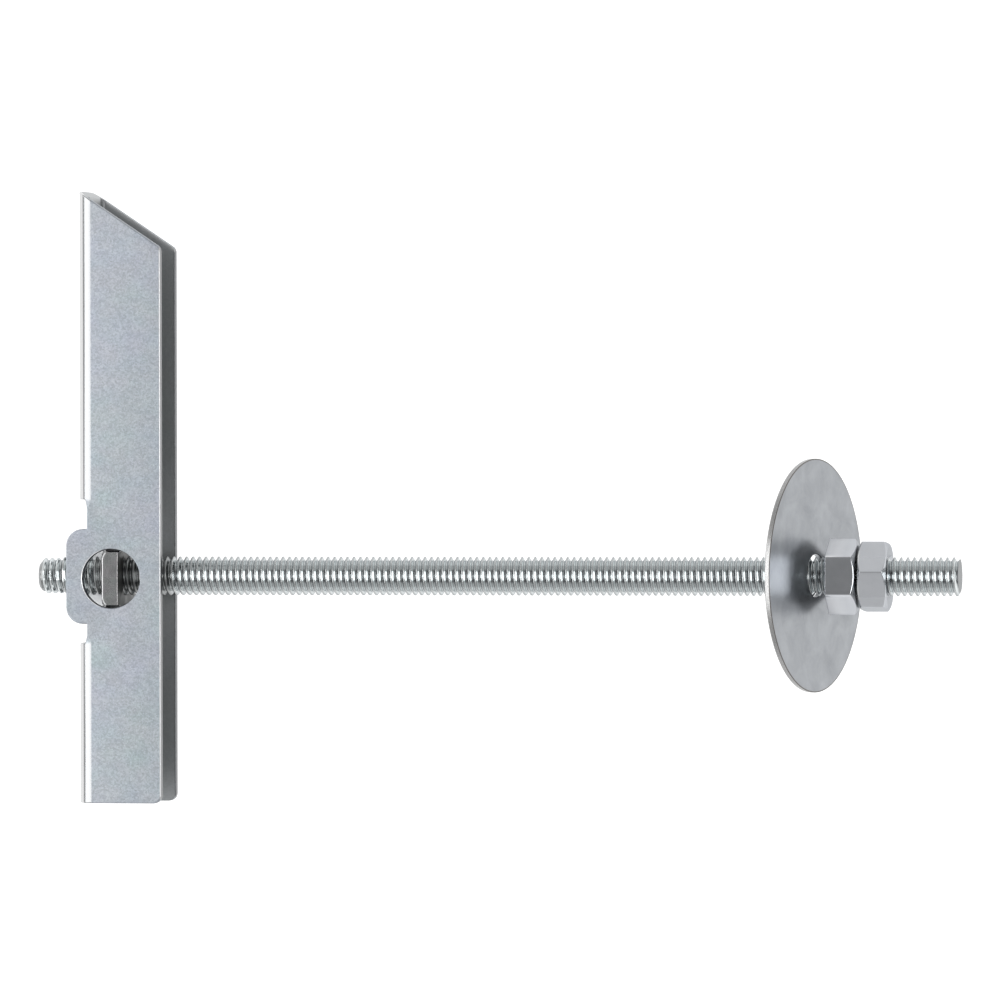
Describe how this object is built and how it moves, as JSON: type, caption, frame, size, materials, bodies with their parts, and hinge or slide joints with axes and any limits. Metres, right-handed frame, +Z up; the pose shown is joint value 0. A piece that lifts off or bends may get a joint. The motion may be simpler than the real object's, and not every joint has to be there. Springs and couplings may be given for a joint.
{
  "type": "gravity toggle bolt",
  "caption": "Gravity toggle bolt: a folded steel bar tilts on a plate nut behind a hollow wall, and a large washer and hexagon nuts draw its threaded rod tight from the front.",
  "frame": {"origin": "centre of the bounding box in plan, on the table that the bolt lies on", "axes": "+X along the rod from its tip to its free end in plan (the rod itself rises with +X), +Y along the bar's long arm, +Z up"},
  "size_m": [0.1414, 0.0932, 0.0334],
  "materials": {
    "rod_zinc": "bright zinc plate on a rolled thread",
    "plate_nut_steel": "punched steel, thin zinc plate",
    "bar_zinc": "galvanised sheet with a fine bluish grain",
    "washer_zinc": "satin zinc plate",
    "nut_zinc": "bright zinc plate"
  },
  "bodies": {
    "threaded_rod": {"threaded_rod": "rod_zinc"},
    "pivot_nut": {"pivot_nut": "plate_nut_steel"},
    "toggle_bar": {"toggle_bar": "bar_zinc"},
    "hex_nut": {"hex_nut": "nut_zinc"},
    "lock_nut": {"lock_nut": "nut_zinc"},
    "washer": {"washer": "washer_zinc"}
  },
  "joints": [
    {"name": "pivot_nut_travel", "type": "slide", "parent": "threaded_rod", "child": "pivot_nut", "axis": [0.9958, 0, 0.0913], "range_m": [-0.01, 0]},
    {"name": "bar_swing", "type": "hinge", "parent": "pivot_nut", "child": "toggle_bar", "pos_m": [-0.05835, -0.01243, 0.00691], "axis": [-0.0913, 0, 0.9958], "range_deg": [-47.5, 90]},
    {"name": "hex_nut_travel", "type": "slide", "parent": "threaded_rod", "child": "hex_nut", "axis": [0.9958, 0, 0.0913], "range_m": [-0.05, 0.005]},
    {"name": "lock_nut_travel", "type": "slide", "parent": "hex_nut", "child": "lock_nut", "axis": [0.9958, 0, 0.0913], "range_m": [0, 0.005]},
    {"name": "washer_slide", "type": "slide", "parent": "hex_nut", "child": "washer", "axis": [0.9958, 0, 0.0913], "range_m": [-0.012, 0.0005]}
  ]
}
